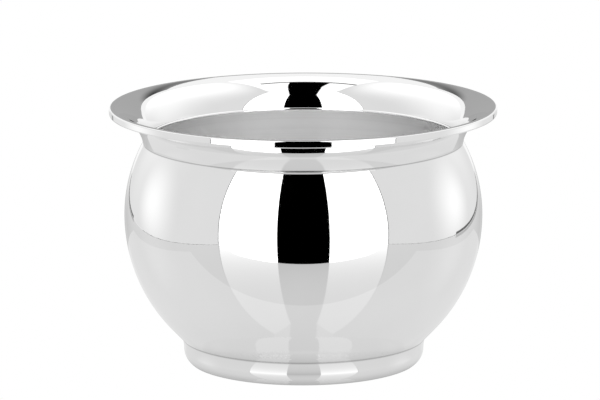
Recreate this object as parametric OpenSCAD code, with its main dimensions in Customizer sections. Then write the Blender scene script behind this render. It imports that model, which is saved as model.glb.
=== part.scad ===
// Shaving bowl: a spun belly with a flared collar, a rim band and a turned foot ring.
// Everything is turned about the Z axis. The origin is the centre of the face it stands on.
// Sections are drawn with X as the distance from the axis and Y as the height.

/* [Rim] */
// Outer diameter of the rim band, the widest part of the bowl
rim_d = 100; // [97:0.5:103]
// Height of the whole bowl
total_h = 67; // [66.5:0.1:67.5]
// Height of the rim band
band_h = 1.9; // [1.7:0.1:2.2]
// Thickness of the rim band from inside to outside
band_w = 1.4; // [1.2:0.1:1.7]
// Rounding of the rim band's corners
band_round = 0.4; // [0.2:0.05:0.5]

/* [Collar] */
// Outer diameter at the crease between collar and belly
neck_d = 82.6; // [80.4:0.2:84.4]
// Height of the crease
neck_z = 57.7; // [57:0.1:58.4]
// Angle from upright at which the collar leaves the crease
flare_start = 9; // [7:0.5:11]
// Angle from upright where the flare's tight lower curve becomes its wide upper one
flare_turn = 45; // [40:1:50]
// Angle from upright at which the flare meets the rim band
flare_end = 70; // [66:1:74]

/* [Belly] */
// Thickness of the spun sheet
sheet_t = 1; // [0.8:0.1:1.2]
// Largest diameter of the belly
belly_d = 92.6; // [90:0.2:95]
// Height of the largest diameter
belly_z = 38.5; // [37:0.5:40]
// Radius of the curve below the largest diameter
lower_r = 42; // [41:0.5:43]
// Angle turned by that curve before the wall runs straight down to the foot
lower_turn = 43.5; // [42:0.5:45]
// Height of the underside of the bottom
bottom_z = 4.4; // [4.2:0.1:4.6]
// Radius of the outer corner between wall and bottom
corner_r = 4; // [3.5:0.1:4.5]

/* [Foot] */
// Diameter of the foot ring where its side is upright
foot_d = 62.2; // [62:0.1:62.4]
// Height at which the side is upright
foot_side_z = 3.2; // [3:0.1:3.4]
// Radius of the rounding below that height, in to the face it stands on
foot_round = 4; // [3.6:0.1:4.4]
// Radius of the hollow cove above that height, out to the belly
foot_cove = 10; // [9:0.5:12]
// Inner diameter of the foot ring
foot_bore = 54; // [52:0.5:55]

/* [Solder] */
// Radius of the solder fillet under the bottom, inside the foot ring
foot_fillet = 1; // [0.8:0.1:1.2]

/* [Hidden] */
$fn = 360;

far = 100;  // reaches past any section
lap = 0.05; // how far neighbouring pieces of one section run into each other

rim_r = rim_d / 2;
neck_r = neck_d / 2;
belly_r = belly_d / 2;
foot_bore_r = foot_bore / 2;

// Flare: two arcs measured on its upper face, from flare_start in the throat to flare_end at
// the rim band. Their radii solve the two equations for how far the face reaches and rises.
throat = [neck_r, neck_z] + sheet_t * along(180 - flare_start);
reach = rim_r - band_w - throat.x;
rise = total_h - throat.y;
tight_reach = cos(flare_start) - cos(flare_turn);
wide_reach = cos(flare_turn) - cos(flare_end);
tight_rise = sin(flare_turn) - sin(flare_start);
wide_rise = sin(flare_end) - sin(flare_turn);
solution_share = tight_reach * wide_rise - wide_reach * tight_rise;
tight_r = (reach * wide_rise - rise * wide_reach) / solution_share;
wide_r = (rise * tight_reach - reach * tight_rise) / solution_share;
tight_centre = throat - tight_r * along(180 - flare_start);
wide_centre = tight_centre + (tight_r - wide_r) * along(180 - flare_turn);
lap_turn = 0.3; // degrees that the tight curve runs on into the wide one, so that they fuse

// Shoulder: one arc, upright at the belly's widest height, that passes through the crease.
shoulder_r = (pow(neck_z - belly_z, 2) + pow(belly_r - neck_r, 2)) / (2 * (belly_r - neck_r));
shoulder_centre = [belly_r - shoulder_r, belly_z];
// The sheet runs on inside the collar until its outer face reaches the collar's inner face,
// which is where the shoulder's circle crosses the circle of the tight curve.
apart = tight_centre - shoulder_centre;
shoulder_turn = atan2(apart.y, apart.x)
    + acos((pow(shoulder_r, 2) + pow(norm(apart), 2) - pow(tight_r, 2)) / (2 * shoulder_r * norm(apart)));
edge_centre = shoulder_centre + (shoulder_r - sheet_t / 2) * along(shoulder_turn);

// Lower wall: an arc, then a straight stretch, then the corner into the flat bottom.
lower_centre = [belly_r - lower_r, belly_z];
lower_end = lower_centre + lower_r * along(-lower_turn);
corner_start_z = bottom_z + corner_r * (1 - sin(lower_turn));
corner_start = [lower_end.x - (lower_end.y - corner_start_z) * tan(lower_turn), corner_start_z];
corner_centre = corner_start - corner_r * along(-lower_turn);

// Foot ring: a rounding below and a cove above, both upright where they meet. The cove stops
// being cut where it runs parallel to the straight wall, which is already inside the belly.
round_centre = [foot_d / 2 - foot_round, foot_side_z];
cove_centre = [foot_d / 2 + foot_cove, foot_side_z];
cove_top = foot_side_z + foot_cove * sin(lower_turn);

// Unit vector at an angle, measured up from the outward direction.
function along(angle) = [cos(angle), sin(angle)];

// Everything seen from a centre between two angles that are less than 180 degrees apart.
module wedge(centre, from, to) {
    translate(centre)
        polygon([[0, 0], far * along(from), 2 * far * along((from + to) / 2), far * along(to)]);
}

// A disc about a centre, between two heights.
module disc_slice(centre, r, low, high) {
    intersection() {
        translate(centre) circle(r = r);
        translate([0, low]) square([far, high - low]);
    }
}

// A curved strip of sheet between two angles, outer_r being its outer radius.
module sheet_arc(centre, outer_r, from, to) {
    intersection() {
        translate(centre) difference() {
            circle(r = outer_r);
            circle(r = outer_r - sheet_t);
        }
        wedge(centre, from, to);
    }
}

// The belly filled solid, with its outside moved inwards by inset.
module filled_belly(inset) {
    wall_top = lower_centre + (lower_r - inset) * along(-lower_turn);
    wall_foot = corner_centre + (corner_r - inset) * along(-lower_turn);
    floor_edge = corner_centre + (corner_r - inset) * along(-90);
    disc_slice(shoulder_centre, shoulder_r - inset, belly_z - lap, far);
    disc_slice(lower_centre, lower_r - inset, wall_top.y, belly_z);
    polygon([[0, floor_edge.y], floor_edge, wall_foot, wall_top, [0, wall_top.y + lap]]);
    disc_slice(corner_centre, corner_r - inset, floor_edge.y, wall_foot.y + lap);
}

// The spun sheet of the belly, with its upper edge rounded over.
module belly_section() {
    difference() {
        filled_belly(0);
        filled_belly(sheet_t);
        wedge(shoulder_centre, shoulder_turn, shoulder_turn + 170);
    }
    translate(edge_centre) circle(d = sheet_t);
}

// The flare's two arcs, scarfed onto the shoulder below and cut square at the rim band.
module collar_section() {
    difference() {
        union() {
            sheet_arc(tight_centre, tight_r, 180 - flare_turn - lap_turn, 180 - flare_start);
            sheet_arc(wide_centre, wide_r, 180 - flare_end, 180 - flare_turn);
        }
        filled_belly(0);
        translate([rim_r - band_w, 0]) square(far);
    }
}

// A flat-faced band, rounded at its two outer corners and its lower inner one. The upper
// inner corner stays square, because the flare runs out level with the top of the band.
module band_section() {
    inner = rim_r - band_w;
    low = total_h - band_h;
    translate([inner, low + band_round]) square([band_w, band_h - 2 * band_round]);
    translate([inner + band_round, low]) square([band_w - 2 * band_round, band_h]);
    translate([inner, total_h - 2 * band_round]) square([band_w / 2, 2 * band_round]);
    for (x = [inner + band_round, rim_r - band_round]) {
        translate([x, low + band_round]) circle(r = band_round);
    }
    translate([rim_r - band_round, total_h - band_round]) circle(r = band_round);
}

// A ring rounded under, coved up to the belly above it, with a plain bore.
module foot_section() {
    difference() {
        union() {
            disc_slice(round_centre, foot_round, 0, foot_side_z);
            translate([0, foot_side_z - lap]) square([foot_d / 2, lap]);
            difference() {
                translate([0, foot_side_z]) square([cove_centre.x, cove_top - foot_side_z]);
                translate(cove_centre) circle(r = foot_cove);
            }
        }
        square([foot_bore_r, far]);
        filled_belly(0);
    }
}

// A bead of solder in the angle between the foot ring's bore and the bottom.
module foot_solder_section() {
    intersection() {
        translate([foot_bore_r, bottom_z]) circle(r = foot_fillet);
        square([foot_bore_r, bottom_z]);
    }
}

module belly_shell() {
    color("silver") rotate_extrude() belly_section();
}

module flared_collar() {
    color("gainsboro") rotate_extrude() collar_section();
}

module rim_band() {
    color("lightgray") rotate_extrude() band_section();
}

module foot_ring() {
    color("darkgray") rotate_extrude() foot_section();
}

module foot_solder() {
    color("dimgray") rotate_extrude() foot_solder_section();
}

belly_shell();
flared_collar();
rim_band();
foot_ring();
foot_solder();
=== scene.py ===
"""Shaving bowl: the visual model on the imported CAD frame, with its studio and camera.

Everything is in metres. The bowl stands on Z = 0 and is turned about the Z axis. A section is
drawn in (r, z), r being the distance from the axis.
"""

import math

import bpy
from mathutils import Matrix, Vector


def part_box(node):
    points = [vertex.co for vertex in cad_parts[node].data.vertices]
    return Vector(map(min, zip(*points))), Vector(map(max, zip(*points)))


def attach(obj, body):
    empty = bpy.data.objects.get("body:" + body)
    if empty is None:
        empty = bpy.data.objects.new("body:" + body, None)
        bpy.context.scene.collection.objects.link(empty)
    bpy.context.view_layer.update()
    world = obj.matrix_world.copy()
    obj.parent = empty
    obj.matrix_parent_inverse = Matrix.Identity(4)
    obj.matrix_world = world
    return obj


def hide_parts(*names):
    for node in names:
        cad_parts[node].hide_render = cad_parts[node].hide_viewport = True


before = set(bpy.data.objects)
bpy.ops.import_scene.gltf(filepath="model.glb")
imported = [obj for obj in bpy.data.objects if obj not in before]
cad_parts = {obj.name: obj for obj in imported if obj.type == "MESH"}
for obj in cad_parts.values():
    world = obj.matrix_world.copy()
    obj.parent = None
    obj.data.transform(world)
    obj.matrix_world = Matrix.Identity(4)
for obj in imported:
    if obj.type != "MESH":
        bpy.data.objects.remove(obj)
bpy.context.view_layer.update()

# ---------------------------------------------------------------------------------------------
# Sizes: read from the CAD nodes, or the design's own where no node's box shows them
# ---------------------------------------------------------------------------------------------


def widest(node):
    """Largest radius of a node."""
    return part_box(node)[1][0]


def lowest(node):
    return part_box(node)[0][2]


def highest(node):
    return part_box(node)[1][2]


RIM_R = widest("rim_band")
TOTAL_H = highest("rim_band")
BAND_H = TOTAL_H - lowest("rim_band")
BAND_W = RIM_R - widest("flared_collar")
BELLY_R = widest("belly_shell")
BOTTOM_Z = lowest("belly_shell")
NECK_Z = lowest("flared_collar")
FOOT_BORE_R = widest("foot_solder")

SHEET = 0.001
NECK_R = 0.0413
BELLY_Z = 0.0385
LOWER_R = 0.042
LOWER_TURN = math.radians(43.5)
CORNER_R = 0.004
FLARE_START = math.radians(9)
FLARE_TURN = math.radians(45)
FLARE_END = math.radians(70)
FOOT_R = 0.0311
FOOT_SIDE_Z = 0.0032
FOOT_ROUND = 0.004
FOOT_COVE = 0.010
BAND_ROUND = 0.0004

SEGMENTS = 336
ARC_STEP = math.radians(1.5)
FINE_ARC_STEPS = 8
SAME_POINT = 1e-7


# ---------------------------------------------------------------------------------------------
# Sections: runs of (point, normal) samples. The metal lies on the left of the way they run.
# ---------------------------------------------------------------------------------------------


def along(angle):
    """Unit vector at an angle, measured up from the outward direction."""
    return Vector((math.cos(angle), math.sin(angle)))


def arc(centre, radius, start, end):
    """Samples along an arc; running down its angles puts the metal outside it."""
    side = 1 if end > start else -1
    steps = max(FINE_ARC_STEPS, math.ceil(abs(end - start) / ARC_STEP))
    angles = [start + (end - start) * i / steps for i in range(steps + 1)]
    return [(centre + radius * along(a), side * along(a)) for a in angles]


def line(start, end):
    """The two ends of a straight run."""
    way = (end - start).normalized()
    normal = Vector((way.y, -way.x))
    return [(start, normal), (end, normal)]


def joined(*runs):
    """Arcs in order, with a straight run wherever one does not start where the last ended."""
    out = []
    for run in runs:
        if out and (out[-1][-1][0] - run[0][0]).length > SAME_POINT:
            out.append(line(out[-1][-1][0], run[0][0]))
        out.append(run)
    return out


def closed(*runs):
    """The same, brought back to its own start."""
    out = joined(*runs)
    if (out[-1][-1][0] - out[0][0][0]).length > SAME_POINT:
        out.append(line(out[-1][-1][0], out[0][0][0]))
    return out


def swung(vector, turn):
    """A vector of the section, swung about the axis by a number of segments."""
    angle = 2 * math.pi * turn / SEGMENTS
    return vector.x * math.cos(angle), vector.x * math.sin(angle), vector.y


def turned(name, outside, inside):
    """A section turned about the axis, with its exact normals. Inside runs get material 1."""
    runs = [*outside, *inside]
    pairs = [(a, b) for run in runs for a, b in zip(run[:-1], run[1:])]
    outside_pairs = sum(len(run) - 1 for run in outside)
    rings = [a[0] for a, b in pairs]
    last = pairs[-1][1][0]
    if (last - rings[0]).length > SAME_POINT:
        rings.append(last)
    verts = []
    first = []
    for ring in rings:
        first.append(len(verts))
        copies = SEGMENTS if ring.x > SAME_POINT else 1
        verts += [swung(ring, j) for j in range(copies)]

    def vertex(k, j):
        """Number of the vertex j segments round ring k; a ring on the axis has only one."""
        k %= len(rings)
        return first[k] + (j % SEGMENTS if rings[k].x > SAME_POINT else 0)

    faces = []
    normals = []
    for k, (a, b) in enumerate(pairs):
        for j in range(SEGMENTS):
            corners = ((k, j, a[1]), (k, j + 1, a[1]), (k + 1, j + 1, b[1]), (k + 1, j, b[1]))
            face = []
            for ring, turn, normal in corners:
                index = vertex(ring, turn)
                if index not in face:
                    face.append(index)
                    normals.append(swung(normal, turn))
            faces.append(face)
    mesh = bpy.data.meshes.new(name)
    mesh.from_pydata(verts, [], faces)
    mesh.shade_smooth()
    outside_faces = outside_pairs * SEGMENTS
    mesh.polygons.foreach_set("material_index", [int(i >= outside_faces) for i in range(len(faces))])
    mesh.normals_split_custom_set(normals)
    piece = bpy.data.objects.new(name, mesh)
    bpy.context.scene.collection.objects.link(piece)
    return piece


# ---------------------------------------------------------------------------------------------
# Shape of the bowl, worked out from the sizes above. Each section is its outside runs, then its
# inside runs, and only the belly has an inside.
# ---------------------------------------------------------------------------------------------


def flare_arcs():
    """Centres and radii of the flare's two arcs, on its upper face."""
    throat = Vector((NECK_R, NECK_Z)) + SHEET * along(math.pi - FLARE_START)
    reach = RIM_R - BAND_W - throat.x
    rise = TOTAL_H - throat.y
    tight_reach = math.cos(FLARE_START) - math.cos(FLARE_TURN)
    wide_reach = math.cos(FLARE_TURN) - math.cos(FLARE_END)
    tight_rise = math.sin(FLARE_TURN) - math.sin(FLARE_START)
    wide_rise = math.sin(FLARE_END) - math.sin(FLARE_TURN)
    share = tight_reach * wide_rise - wide_reach * tight_rise
    tight = (reach * wide_rise - rise * wide_reach) / share
    wide = (rise * tight_reach - reach * tight_rise) / share
    tight_centre = throat - tight * along(math.pi - FLARE_START)
    wide_centre = tight_centre + (tight - wide) * along(math.pi - FLARE_TURN)
    return tight_centre, tight, wide_centre, wide


TIGHT_C, TIGHT, WIDE_C, WIDE = flare_arcs()

SHOULDER_R = ((NECK_Z - BELLY_Z) ** 2 + (BELLY_R - NECK_R) ** 2) / (2 * (BELLY_R - NECK_R))
SHOULDER_C = Vector((BELLY_R - SHOULDER_R, BELLY_Z))


def shoulder_turn():
    """Angle at which the shoulder meets the collar's inner face, two circles crossing."""
    apart = TIGHT_C - SHOULDER_C
    share = (SHOULDER_R ** 2 + apart.length ** 2 - TIGHT ** 2) / (2 * SHOULDER_R * apart.length)
    return math.atan2(apart.y, apart.x) + math.acos(share)


SHOULDER_TURN = shoulder_turn()
EDGE_C = SHOULDER_C + (SHOULDER_R - SHEET / 2) * along(SHOULDER_TURN)

LOWER_C = Vector((BELLY_R - LOWER_R, BELLY_Z))
LOWER_END = LOWER_C + LOWER_R * along(-LOWER_TURN)
CORNER_START_Z = BOTTOM_Z + CORNER_R * (1 - math.sin(LOWER_TURN))
CORNER_START_R = LOWER_END.x - (LOWER_END.y - CORNER_START_Z) * math.tan(LOWER_TURN)
CORNER_C = Vector((CORNER_START_R, CORNER_START_Z)) - CORNER_R * along(-LOWER_TURN)


def belly_shell():
    """The spun belly: its outside from the axis up to the rounded edge, then its inside."""
    floor_r = CORNER_C.x
    outside = joined(
        line(Vector((0, BOTTOM_Z)), Vector((floor_r, BOTTOM_Z))),
        arc(CORNER_C, CORNER_R, -math.pi / 2, -LOWER_TURN),
        arc(LOWER_C, LOWER_R, -LOWER_TURN, 0),
        arc(SHOULDER_C, SHOULDER_R, 0, SHOULDER_TURN),
        arc(EDGE_C, SHEET / 2, SHOULDER_TURN, SHOULDER_TURN + math.pi),
    )
    inside = joined(
        arc(SHOULDER_C, SHOULDER_R - SHEET, SHOULDER_TURN, 0),
        arc(LOWER_C, LOWER_R - SHEET, 0, -LOWER_TURN),
        arc(CORNER_C, CORNER_R - SHEET, -LOWER_TURN, -math.pi / 2),
        line(Vector((floor_r, BOTTOM_Z + SHEET)), Vector((0, BOTTOM_Z + SHEET))),
    )
    return outside, inside


def flared_collar():
    """The flare: upper face down into the throat, the scarf on the shoulder, the underside."""
    meeting = SHOULDER_C + SHOULDER_R * along(SHOULDER_TURN) - TIGHT_C
    meeting_turn = math.atan2(meeting.y, meeting.x)
    crease_turn = math.asin((NECK_Z - BELLY_Z) / SHOULDER_R)
    return closed(
        arc(WIDE_C, WIDE, math.pi - FLARE_END, math.pi - FLARE_TURN),
        arc(TIGHT_C, TIGHT, math.pi - FLARE_TURN, meeting_turn),
        arc(SHOULDER_C, SHOULDER_R, SHOULDER_TURN, crease_turn),
        arc(TIGHT_C, TIGHT - SHEET, math.pi - FLARE_START, math.pi - FLARE_TURN),
        arc(WIDE_C, WIDE - SHEET, math.pi - FLARE_TURN, math.pi - FLARE_END),
    ), ()


def rim_band():
    """A flat-faced band, square where the flare runs out onto it."""
    inner = RIM_R - BAND_W
    low = TOTAL_H - BAND_H
    r = BAND_ROUND
    return closed(
        line(Vector((inner, TOTAL_H)), Vector((inner, low + r))),
        arc(Vector((inner + r, low + r)), r, math.pi, 3 * math.pi / 2),
        arc(Vector((RIM_R - r, low + r)), r, -math.pi / 2, 0),
        arc(Vector((RIM_R - r, TOTAL_H - r)), r, 0, math.pi / 2),
    ), ()


ROUND_C = Vector((FOOT_R - FOOT_ROUND, FOOT_SIDE_Z))
COVE_C = Vector((FOOT_R + FOOT_COVE, FOOT_SIDE_Z))
COVE_TO_BELLY = (COVE_C - LOWER_END).dot(along(-LOWER_TURN))
COVE_TURN = math.pi + math.acos(COVE_TO_BELLY / FOOT_COVE) - LOWER_TURN
FOOT_JOINT_Z = (COVE_C + FOOT_COVE * along(COVE_TURN)).y


def foot_ring():
    """The turned foot: flat underside, rounded side, cove up to the belly, plain bore."""
    ground_turn = -math.asin(FOOT_SIDE_Z / FOOT_ROUND)
    return closed(
        line(Vector((FOOT_BORE_R, 0)), ROUND_C + FOOT_ROUND * along(ground_turn)),
        arc(ROUND_C, FOOT_ROUND, ground_turn, 0),
        arc(COVE_C, FOOT_COVE, math.pi, COVE_TURN),
        arc(CORNER_C, CORNER_R, -LOWER_TURN, -math.pi / 2),
        line(Vector((CORNER_C.x, BOTTOM_Z)), Vector((FOOT_BORE_R, BOTTOM_Z))),
    ), ()


# ---------------------------------------------------------------------------------------------
# Materials
# ---------------------------------------------------------------------------------------------


BLACK = (0, 0, 0, 1)
WHITE = (1, 1, 1, 1)
EDGE_STARTS = 0.53      # pointiness where edge wear starts, and where it is full
EDGE_FULL = 0.62


class Nodes:
    """A new material's node tree, with its Principled shader."""

    def __init__(self, name):
        self.material = bpy.data.materials.new(name)
        self.material.use_nodes = True
        self.tree = self.material.node_tree
        self.shader = self.tree.nodes["Principled BSDF"]

    def add(self, kind, inputs=None, **settings):
        """A node of a kind; inputs maps a socket to a number or to another node's output."""
        node = self.tree.nodes.new(kind)
        for key, value in settings.items():
            setattr(node, key, value)
        self.feed(node, inputs or {})
        return node

    def feed(self, node, inputs):
        for socket, value in inputs.items():
            if isinstance(value, bpy.types.NodeSocket):
                self.tree.links.new(value, node.inputs[socket])
            else:
                node.inputs[socket].default_value = value

    def position(self):
        """The point in the object's own frame, which is the bowl's."""
        return self.add("ShaderNodeTexCoord").outputs["Object"]

    def noise(self, vector, scale, detail=2.0, roughness=0.5):
        inputs = {"Vector": vector, "Scale": scale, "Detail": detail, "Roughness": roughness}
        return self.add("ShaderNodeTexNoise", inputs).outputs["Fac"]

    def lathe_marks(self, scale):
        """Noise that only changes with the height and the distance from the axis."""
        xyz = self.add("ShaderNodeSeparateXYZ", {"Vector": self.position()})
        flat = self.add("ShaderNodeCombineXYZ", {"X": xyz.outputs["X"], "Y": xyz.outputs["Y"]})
        radius = self.add("ShaderNodeVectorMath", {0: flat.outputs["Vector"]}, operation="LENGTH")
        section = self.add("ShaderNodeCombineXYZ",
                           {"X": radius.outputs["Value"], "Z": xyz.outputs["Z"]})
        return self.noise(section.outputs["Vector"], scale, detail=3.0, roughness=0.6)

    def spread(self, value, low, high, start=0.3, end=0.7):
        """A noise value stretched from start..end to low..high."""
        inputs = {"Value": value, "From Min": start, "From Max": end, "To Min": low, "To Max": high}
        return self.add("ShaderNodeMapRange", inputs).outputs["Result"]

    def fade(self, distance, reach, full):
        """Full at no distance, falling smoothly to nothing at reach."""
        inputs = {"Value": distance, "From Min": reach, "From Max": 0.0, "To Min": 0.0, "To Max": full}
        return self.add("ShaderNodeMapRange", inputs, interpolation_type="SMOOTHSTEP").outputs["Result"]

    def edges(self):
        """One on sharp outer edges, nothing on the faces between them."""
        bend = self.add("ShaderNodeNewGeometry").outputs["Pointiness"]
        return self.spread(bend, 0.0, 1.0, start=EDGE_STARTS, end=EDGE_FULL)

    def seam(self, height, half_width):
        """One at a joint's height, falling to nothing half_width above and below it."""
        xyz = self.add("ShaderNodeSeparateXYZ", {"Vector": self.position()})
        difference = {0: xyz.outputs["Z"], 1: height}
        above = self.add("ShaderNodeMath", difference, operation="SUBTRACT").outputs[0]
        away = self.add("ShaderNodeMath", {0: above}, operation="ABSOLUTE").outputs[0]
        return self.fade(away, half_width, 1.0)

    def total(self, *values):
        out = values[0]
        for value in values[1:]:
            out = self.add("ShaderNodeMath", {0: out, 1: value}, operation="ADD").outputs[0]
        return out

    def times(self, a, b):
        return self.add("ShaderNodeMath", {0: a, 1: b}, operation="MULTIPLY").outputs[0]

    def grey(self, value):
        mixed = {"Red": value, "Green": value, "Blue": value}
        return self.add("ShaderNodeCombineColor", mixed).outputs["Color"]

    def bump(self, height, strength, distance):
        inputs = {"Height": height, "Strength": strength, "Distance": distance}
        return self.add("ShaderNodeBump", inputs).outputs["Normal"]


HAZE_SCALE = 45
HAZE_GREY = 0.885, 0.915
PATCH_SCALE = 160
PATCH_ROUGHNESS = 0.012, 0.035
RUB_SHARE = 0.3, 1.0            # how much of the edge wear shows from patch to patch
RUB_GREY = -0.06
RUB_ROUGHNESS = 0.06
# A thin darker, rougher band at the neck joint and at the foot joint: half widths, grey, roughness
NECK_SEAM_HALF = 0.00025
FOOT_SEAM_HALF = 0.00045
SEAM_GREY = -0.35
SEAM_ROUGHNESS = 0.1
HAIRLINE_SCALE = 2500
HAIRLINE_STRENGTH = 0.04
HAIRLINE_DEPTH = 0.00001


def polished_plate():
    """Mirror polish: buffing haze, hairline lathe marks, duller edges, and a thin darker, rougher band at
    each joint.
    """
    nodes = Nodes("polished_plate")
    haze = nodes.noise(nodes.position(), HAZE_SCALE, detail=4.0)
    patches = nodes.noise(nodes.position(), PATCH_SCALE, detail=3.0)
    rub = nodes.times(nodes.edges(), nodes.spread(patches, *RUB_SHARE))
    joints = nodes.total(nodes.seam(NECK_Z, NECK_SEAM_HALF), nodes.seam(FOOT_JOINT_Z, FOOT_SEAM_HALF))
    shade = nodes.total(
        nodes.spread(haze, *HAZE_GREY),
        nodes.times(rub, RUB_GREY),
        nodes.times(joints, SEAM_GREY),
    )
    roughness = nodes.total(
        nodes.spread(patches, *PATCH_ROUGHNESS),
        nodes.times(rub, RUB_ROUGHNESS),
        nodes.times(joints, SEAM_ROUGHNESS),
    )
    hairlines = nodes.lathe_marks(HAIRLINE_SCALE)
    nodes.feed(nodes.shader, {
        "Base Color": nodes.grey(shade),
        "Metallic": 1.0,
        "Roughness": roughness,
        "Normal": nodes.bump(hairlines, HAIRLINE_STRENGTH, HAIRLINE_DEPTH),
    })
    return nodes.material


FINE_RING_SCALE = 3500
FINE_RING_GREY = -0.02, 0.02
FINE_RING_STRENGTH = 0.08
FINE_RING_DEPTH = 0.00003
BROAD_RING_SCALE = 500
BROAD_RING_GREY = 0.86, 0.92
BROAD_RING_ROUGHNESS = 0.36, 0.44


def satin_plate():
    """Plate left as the lathe turned it: rings of fine marks that draw the light out."""
    nodes = Nodes("satin_plate")
    fine = nodes.lathe_marks(FINE_RING_SCALE)
    broad = nodes.lathe_marks(BROAD_RING_SCALE)
    shade = nodes.total(nodes.spread(broad, *BROAD_RING_GREY), nodes.spread(fine, *FINE_RING_GREY))
    nodes.feed(nodes.shader, {
        "Base Color": nodes.grey(shade),
        "Metallic": 1.0,
        "Roughness": nodes.spread(broad, *BROAD_RING_ROUGHNESS),
        "Normal": nodes.bump(fine, FINE_RING_STRENGTH, FINE_RING_DEPTH),
    })
    return nodes.material


LUMP_SCALE = 700
LUMP_ROUGHNESS = 0.35, 0.6
LUMP_STRENGTH = 0.5
LUMP_DEPTH = 0.0002
STAIN_SCALE = 220
STAIN_GREY = 0.38, 0.56


def solder():
    """Dull grey solder, lumpy where it froze."""
    nodes = Nodes("solder")
    lumps = nodes.noise(nodes.position(), LUMP_SCALE, detail=3.0)
    stains = nodes.noise(nodes.position(), STAIN_SCALE, detail=2.0)
    nodes.feed(nodes.shader, {
        "Base Color": nodes.grey(nodes.spread(stains, *STAIN_GREY)),
        "Metallic": 1.0,
        "Roughness": nodes.spread(lumps, *LUMP_ROUGHNESS),
        "Normal": nodes.bump(lumps, LUMP_STRENGTH, LUMP_DEPTH),
    })
    return nodes.material


# ---------------------------------------------------------------------------------------------
# Studio: a white tent round the bowl, open in a slot towards the camera. The chrome sees it,
# the camera sees only the white floor and the white world.
# ---------------------------------------------------------------------------------------------

SLOT_HALF = 0.104       # half the slot between the two front softboxes
SLOT_Y = -0.372         # how far in front of the bowl the slot is
TENT_X = 0.200          # side walls
TENT_FRONT_Y = -0.165   # where a side wall meets a front softbox
TENT_BACK_Y = 0.450
TENT_TOP = 0.840
BELOW_TABLE = -0.120
OUT_OF_SIGHT = 1.0      # how far the black beyond the tent and the table reaches

SOFTBOX_GLOW = 2.1
WALL_GLOW = 0.80
BACK_GLOW = 1.0
WALL_SPOTS = (          # paler spots of each side wall: Y, Z, radius, extra strength
    (0.045, 0.050, 0.09, 0.30),
    (0.150, 0.150, 0.20, 0.12),
    (0.350, 0.500, 0.50, 0.60),
)

# The folds along the side walls' feet are dim strips of painted shade; the seams share their glow
FOLD_GLOW = 0.15
FOLD_Y = 0.110          # where the dark folds along the side walls start, on average
FOLD_SKEW = 0.060       # how much nearer the right one starts, and further the left one
FOLD_HEIGHT = 0.004
FOLD_OFF_WALL = 0.002
SEAM_WIDTH = 0.0025     # upright seam where a side wall meets its softbox
SEAM_OFF_WALL = 0.001

GREY_GLOW = 0.42
GREY_Y = 0.250          # a grey strip of backdrop right behind the bowl
GREY_HALF = 0.066
GREY_TOP = 0.270
GREY_SPOTS = (          # darker spots of the grey strip: X, Z, radius, extra strength
    (-GREY_HALF, 0.230, 0.06, -0.30),
    (GREY_HALF, 0.230, 0.06, -0.36),
    (0, 0.250, 0.07, -0.22),
)

ROOF_GLOW = 1.25
ROD_GLOW = 0.08
UNDER_ROOF = TENT_TOP - 0.005
ROOF_SLOT_BACK = (0.065, 0.030), (0.045, 0.170), (-0.095, 0.170), (-0.085, 0.0)
ROD_PLAN = -0.225, 0.165, 0.150, 0.195      # left, front, right, back

SHEET_Z = -0.0003       # the three floors lie just under the foot, one below another
TABLE_Z = -0.0004
FLOOR_Z = -0.0007
TABLE_EDGE_Y = -0.137   # front edge of the table, within the slot
TABLE_GLOW = 0.70
TABLE_IOR = 1.6
TABLE_ROUGHNESS = 0.05
SHEET_GLOW = 0.77
SHEET_PLAN = -0.150, -0.062, 0.150, 0.120   # the matt sheet that the bowl stands on

# Painted shade and shadow on the table and the sheet, as darker spots: painted shade behind the bowl on
# the table, painted shadow round the foot and a deep painted contact shadow under the bowl on the sheet.
# Centre, radius, extra strength
SHADE_BEHIND_BOWL = ((0, 0.24, 0), 0.24, -0.50)
SHADE_ROUND_FOOT = ((0, 0, 0), 1.9 * FOOT_R, -0.12)
SHADOW_UNDER_BOWL = ((0, 0, 0), 1.08 * FOOT_R, -5.0)

FLOOR_HALF = 3.0        # the white floor that only the camera sees


def glow(name, strength, *spots):
    """A light-giving surface, with paler or darker spots: (centre, radius, extra strength)."""
    nodes = Nodes(name)
    total = strength
    for centre, radius, extra in spots:
        ends = {0: nodes.position(), 1: centre}
        away = nodes.add("ShaderNodeVectorMath", ends, operation="DISTANCE").outputs["Value"]
        total = nodes.total(total, nodes.fade(away, radius, extra))
    if spots:
        total = nodes.add("ShaderNodeMath", {0: total, 1: 0.0}, operation="MAXIMUM").outputs[0]
    nodes.feed(nodes.shader, {
        "Base Color": BLACK,
        "Specular IOR Level": 0.0,
        "Emission Color": WHITE,
        "Emission Strength": total,
    })
    return nodes.material


def table_finish(name, strength, *spots):
    """A glowing floor under a clear gloss that mirrors the tent, more so at a low angle."""
    material = glow(name, strength, *spots)
    shader = material.node_tree.nodes["Principled BSDF"]
    shader.inputs["Coat Weight"].default_value = 1.0
    shader.inputs["Coat IOR"].default_value = TABLE_IOR
    shader.inputs["Coat Roughness"].default_value = TABLE_ROUGHNESS
    return material


def card(name, material, *corners):
    """A flat staged panel that the camera does not see."""
    mesh = bpy.data.meshes.new(name)
    mesh.from_pydata(corners, [], [range(len(corners))])
    mesh.materials.append(material)
    piece = bpy.data.objects.new(name, mesh)
    bpy.context.scene.collection.objects.link(piece)
    piece.visible_camera = False
    return piece


def upright(name, material, start, end, low, high):
    """An upright card between two points on the plan."""
    return card(name, material, (*start, low), (*end, low), (*end, high), (*start, high))


def level(name, material, z, *plan):
    """A level card with the given plan."""
    return card(name, material, *[(x, y, z) for x, y in plan])


def rectangle(x0, y0, x1, y1):
    return (x0, y0), (x1, y0), (x1, y1), (x0, y1)


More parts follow.
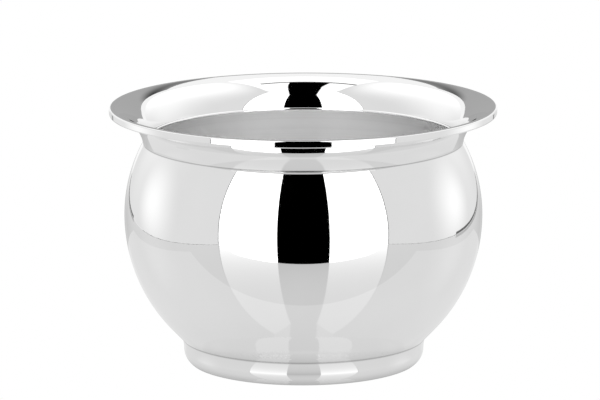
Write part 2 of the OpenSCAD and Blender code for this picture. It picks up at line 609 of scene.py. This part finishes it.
def side_wall(name, side):
    """A side wall with its front softbox, the fold along its foot as a dim strip of painted shade, and the
    seam between the two.
    """
    x = side * TENT_X
    fold_x = x - side * FOLD_OFF_WALL
    seam_x = x - side * SEAM_OFF_WALL
    fold_start = FOLD_Y - side * FOLD_SKEW
    seam_end = TENT_FRONT_Y + SEAM_WIDTH
    cloth = glow("tent_wall_" + name, WALL_GLOW, *[((x, y, z), r, extra) for y, z, r, extra in WALL_SPOTS])
    fold = glow("fold_" + name, FOLD_GLOW)
    upright("softbox_" + name, glow("softbox_" + name, SOFTBOX_GLOW),
            (side * SLOT_HALF, SLOT_Y), (x, TENT_FRONT_Y), BELOW_TABLE, TENT_TOP)
    upright("wall_" + name, cloth, (x, TENT_FRONT_Y), (x, TENT_BACK_Y), 0, TENT_TOP)
    upright("fold_" + name, fold, (fold_x, fold_start), (fold_x, TENT_BACK_Y), 0, FOLD_HEIGHT)
    upright("seam_" + name, fold, (seam_x, TENT_FRONT_Y), (seam_x, seam_end), 0, TENT_TOP)


def back_wall():
    """The white back of the tent, with a grey strip in front of it."""
    white = glow("wall_back", BACK_GLOW)
    grey = glow("grey_back", GREY_GLOW, *[((x, GREY_Y, z), r, extra) for x, z, r, extra in GREY_SPOTS])
    upright("wall_back", white, (-TENT_X, TENT_BACK_Y), (TENT_X, TENT_BACK_Y), 0, TENT_TOP)
    upright("grey_back", grey, (-GREY_HALF, GREY_Y), (GREY_HALF, GREY_Y), BELOW_TABLE, GREY_TOP)


def dark_gaps():
    """The slot the camera looks through, and what lies past the table's front edge."""
    black = glow("black_gap", 0.0)
    upright("slot", black, (-SLOT_HALF, SLOT_Y), (SLOT_HALF, SLOT_Y), -OUT_OF_SIGHT, TENT_TOP)
    level("under_table", black, BELOW_TABLE,
          *rectangle(-OUT_OF_SIGHT, -OUT_OF_SIGHT, OUT_OF_SIGHT, TENT_BACK_Y))


def roof():
    """White cloth with the same slot running on through it, crossed by a rod."""
    level("roof", glow("roof", ROOF_GLOW), TENT_TOP, *rectangle(-TENT_X, SLOT_Y, TENT_X, TENT_BACK_Y))
    level("roof_slot", glow("roof_gap", 0.0), UNDER_ROOF,
          (-SLOT_HALF, SLOT_Y), (SLOT_HALF, SLOT_Y), *ROOF_SLOT_BACK)
    level("roof_rod", glow("roof_rod", ROD_GLOW), UNDER_ROOF, *rectangle(*ROD_PLAN))


def table():
    """The glossy table, cut back within the slot, and the sheet on it that the bowl stands on."""
    # The table carries painted shade behind the bowl; the sheet carries painted shadow round and under the
    # foot
    gloss = table_finish("table", TABLE_GLOW, SHADE_BEHIND_BOWL)
    level("table", gloss, TABLE_Z,
          (-TENT_X, TENT_FRONT_Y), (-SLOT_HALF, TABLE_EDGE_Y), (SLOT_HALF, TABLE_EDGE_Y),
          (TENT_X, TENT_FRONT_Y), (TENT_X, TENT_BACK_Y), (-TENT_X, TENT_BACK_Y))
    matt = table_finish("matt_sheet", SHEET_GLOW, SHADE_ROUND_FOOT, SHADOW_UNDER_BOWL)
    level("matt_sheet", matt, SHEET_Z, *rectangle(*SHEET_PLAN))


def seen_floor():
    """The pale floor and the world as the camera sees them."""
    plan = rectangle(-FLOOR_HALF, -FLOOR_HALF, FLOOR_HALF, FLOOR_HALF)
    floor = level("white_floor", glow("white_floor", 1.0), FLOOR_Z, *plan)
    floor.visible_camera = True
    floor.visible_glossy = False
    floor.visible_diffuse = False
    world = bpy.data.worlds.new("white")
    world.use_nodes = True
    world.node_tree.nodes["Background"].inputs["Color"].default_value = WHITE
    bpy.context.scene.world = world


# ---------------------------------------------------------------------------------------------
# Camera
# ---------------------------------------------------------------------------------------------

LENS = 277.7
SENSOR_WIDTH = 36
CLIP_START = 0.01
CLIP_END = 20
CAMERA_DISTANCE = 1.2
CAMERA_TILT = math.radians(11.96)
LOOK_UP = math.radians(0.569)
LOOK_LEFT = math.radians(0.042)
ROLL = math.radians(-0.19)
AIM = Vector((0, 0, 0.030))


def camera():
    """Faces the aim point from in front and above, then turned a little to frame the bowl."""
    data = bpy.data.cameras.new("camera")
    data.lens = LENS
    data.sensor_width = SENSOR_WIDTH
    data.clip_start = CLIP_START
    data.clip_end = CLIP_END
    piece = bpy.data.objects.new("camera", data)
    bpy.context.scene.collection.objects.link(piece)
    back = Vector((0, -math.cos(CAMERA_TILT), math.sin(CAMERA_TILT)))
    piece.location = AIM + CAMERA_DISTANCE * back
    rise = Matrix.Rotation(math.pi / 2 - CAMERA_TILT + LOOK_UP, 3, "X")
    turn = Matrix.Rotation(LOOK_LEFT, 3, "Z") @ rise @ Matrix.Rotation(ROLL, 3, "Z")
    piece.rotation_euler = turn.to_euler()
    bpy.context.scene.camera = piece


# ---------------------------------------------------------------------------------------------
# Build
# ---------------------------------------------------------------------------------------------


def bowl():
    """Each spun or turned piece in place of its CAD node, and the solder bead as it is."""
    polished = polished_plate()
    satin = satin_plate()
    sections = {
        "belly_shell": (belly_shell, "belly_plate"),
        "flared_collar": (flared_collar, "polished_plate"),
        "rim_band": (rim_band, "polished_plate"),
        "foot_ring": (foot_ring, "polished_plate"),
    }
    for node, (section, slot) in sections.items():
        piece = turned(node + "_turned", *section())
        piece.data.materials.append(polished)
        if node == "belly_shell":
            piece.data.materials.append(satin)
        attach(piece, "root")
        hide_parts(node)
    dull = solder()
    for bead_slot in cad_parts["foot_solder"].material_slots:
        bead_slot.material = dull


bowl()
side_wall("left", -1)
side_wall("right", 1)
back_wall()
dark_gaps()
roof()
table()
seen_floor()
camera()
bpy.context.scene.view_settings.view_transform = "Standard"
